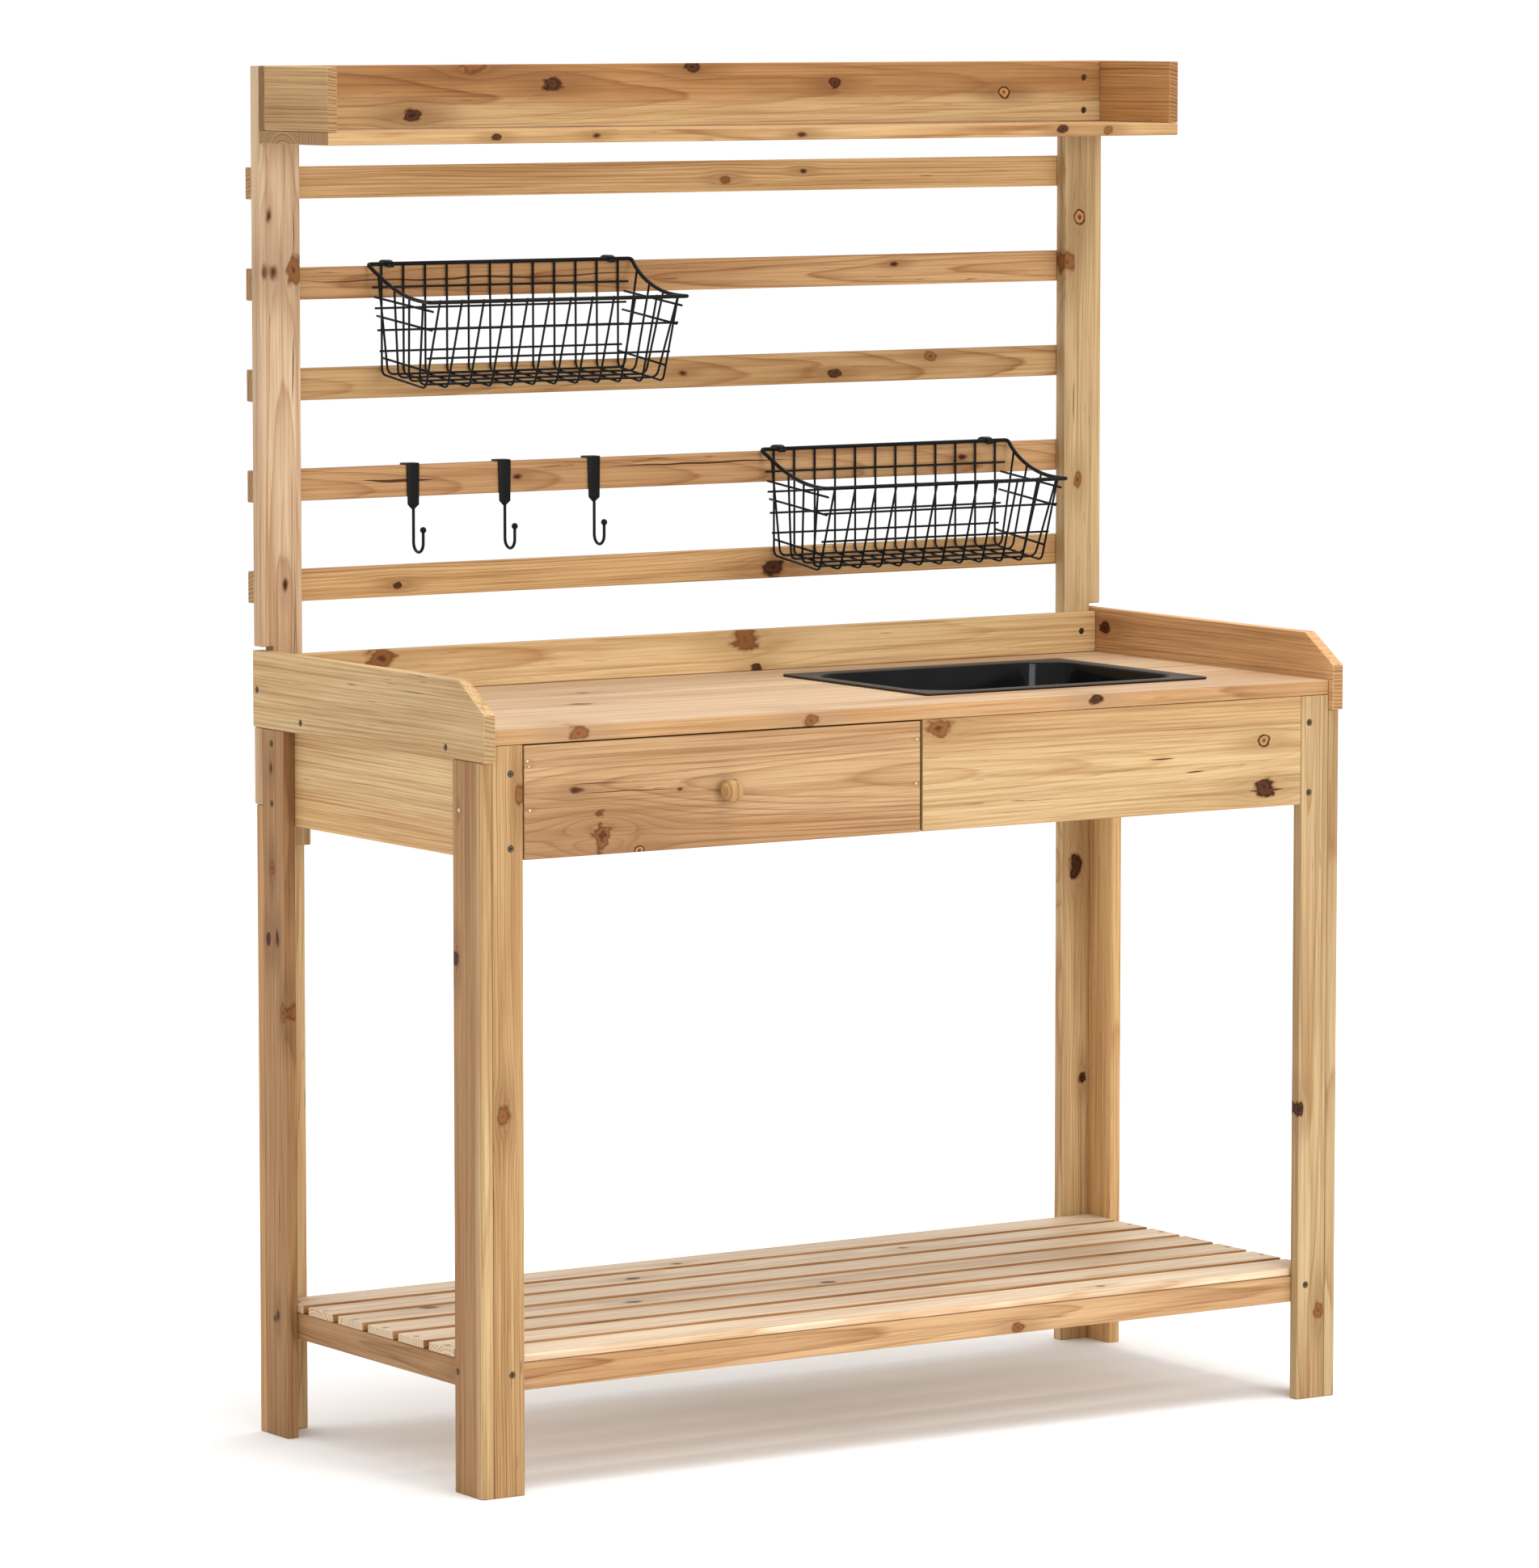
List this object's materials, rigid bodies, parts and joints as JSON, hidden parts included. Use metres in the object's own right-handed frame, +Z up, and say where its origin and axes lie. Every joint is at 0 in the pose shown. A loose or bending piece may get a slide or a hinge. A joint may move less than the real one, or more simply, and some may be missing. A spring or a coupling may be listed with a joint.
{
  "type": "potting bench",
  "caption": "Timber potting bench with a drawer, drop-in sink, slatted lower shelf, and a back trellis with hanging wire baskets, hooks and a top shelf.",
  "frame": {"origin": "centre of the bench's bounding box, on the ground", "axes": "+X to the right as seen from the front, +Y to the rear (the trellis side), +Z up"},
  "size_m": [1.122, 0.5176, 1.5],
  "materials": {
    "cedar": "natural planed, matt",
    "pale_cedar": "natural planed, matt",
    "pink_cedar": "natural planed, matt",
    "black_metal": "satin powder coat",
    "black_plastic": "gloss moulded"
  },
  "bodies": {
    "bench": {"front_left_leg_side_board": "cedar", "front_right_leg_side_board": "cedar", "front_left_leg_face_board": "pale_cedar", "front_right_leg_face_board": "pale_cedar", "rear_left_leg_side_board": "cedar", "rear_right_leg_side_board": "cedar", "rear_left_leg_back_board": "cedar", "rear_right_leg_back_board": "cedar", "left_upright": "cedar", "right_upright": "cedar", "rear_left_splice_block": "pale_cedar", "rear_right_splice_block": "pale_cedar", "front_left_corner_block": "cedar", "front_right_corner_block": "cedar", "trellis_slat_1": "cedar", "trellis_slat_2": "cedar", "trellis_slat_3": "cedar", "trellis_slat_4": "cedar", "trellis_slat_5": "cedar", "top_shelf_back_board": "cedar", "top_shelf_left_end": "cedar", "top_shelf_right_end": "cedar", "top_shelf_rear_bottom_board": "cedar", "top_shelf_front_bottom_board": "cedar", "tabletop": "pale_cedar", "tray_left_side": "pale_cedar", "tray_right_side": "pink_cedar", "tray_back_board": "cedar", "side_apron_left": "pale_cedar", "side_apron_right": "pale_cedar", "back_apron": "cedar", "fixed_front_panel": "cedar", "drawer_divider": "cedar", "left_drawer_runner": "cedar", "right_drawer_runner": "cedar", "lower_side_rail_left": "cedar", "lower_side_rail_right": "cedar", "lower_front_rail": "pink_cedar", "lower_back_rail": "cedar", "lower_centre_rail": "cedar", "lower_shelf_slat_1": "pale_cedar", "lower_shelf_slat_2": "pale_cedar", "lower_shelf_slat_3": "pale_cedar", "lower_shelf_slat_4": "pale_cedar", "lower_shelf_slat_5": "pale_cedar", "lower_shelf_slat_6": "pale_cedar", "lower_shelf_slat_7": "pale_cedar"},
    "drawer": {"drawer_front": "pink_cedar", "drawer_left_side": "cedar", "drawer_right_side": "cedar", "drawer_back": "cedar", "drawer_bottom": "pale_cedar", "drawer_knob": "cedar"},
    "sink": {"sink": "black_plastic"},
    "left_basket": {"left_basket": "black_metal"},
    "right_basket": {"right_basket": "black_metal"},
    "hook_1": {"hook_1": "black_metal"},
    "hook_2": {"hook_2": "black_metal"},
    "hook_3": {"hook_3": "black_metal"}
  },
  "joints": [
    {"name": "drawer_slide", "type": "slide", "parent": "bench", "child": "drawer", "axis": [0, -1, 0], "range_m": [0, 0.26]},
    {"name": "sink_lift", "type": "slide", "parent": "bench", "child": "sink", "axis": [0, 0, 1], "range_m": [0, 0.13]},
    {"name": "left_basket_lift", "type": "slide", "parent": "bench", "child": "left_basket", "axis": [0, 0, 1], "range_m": [0, 0.045]},
    {"name": "right_basket_lift", "type": "slide", "parent": "bench", "child": "right_basket", "axis": [0, 0, 1], "range_m": [0, 0.045]},
    {"name": "hook_1_lift", "type": "slide", "parent": "bench", "child": "hook_1", "axis": [0, 0, 1], "range_m": [0, 0.03]},
    {"name": "hook_2_lift", "type": "slide", "parent": "bench", "child": "hook_2", "axis": [0, 0, 1], "range_m": [0, 0.03]},
    {"name": "hook_3_lift", "type": "slide", "parent": "bench", "child": "hook_3", "axis": [0, 0, 1], "range_m": [0, 0.03]}
  ]
}
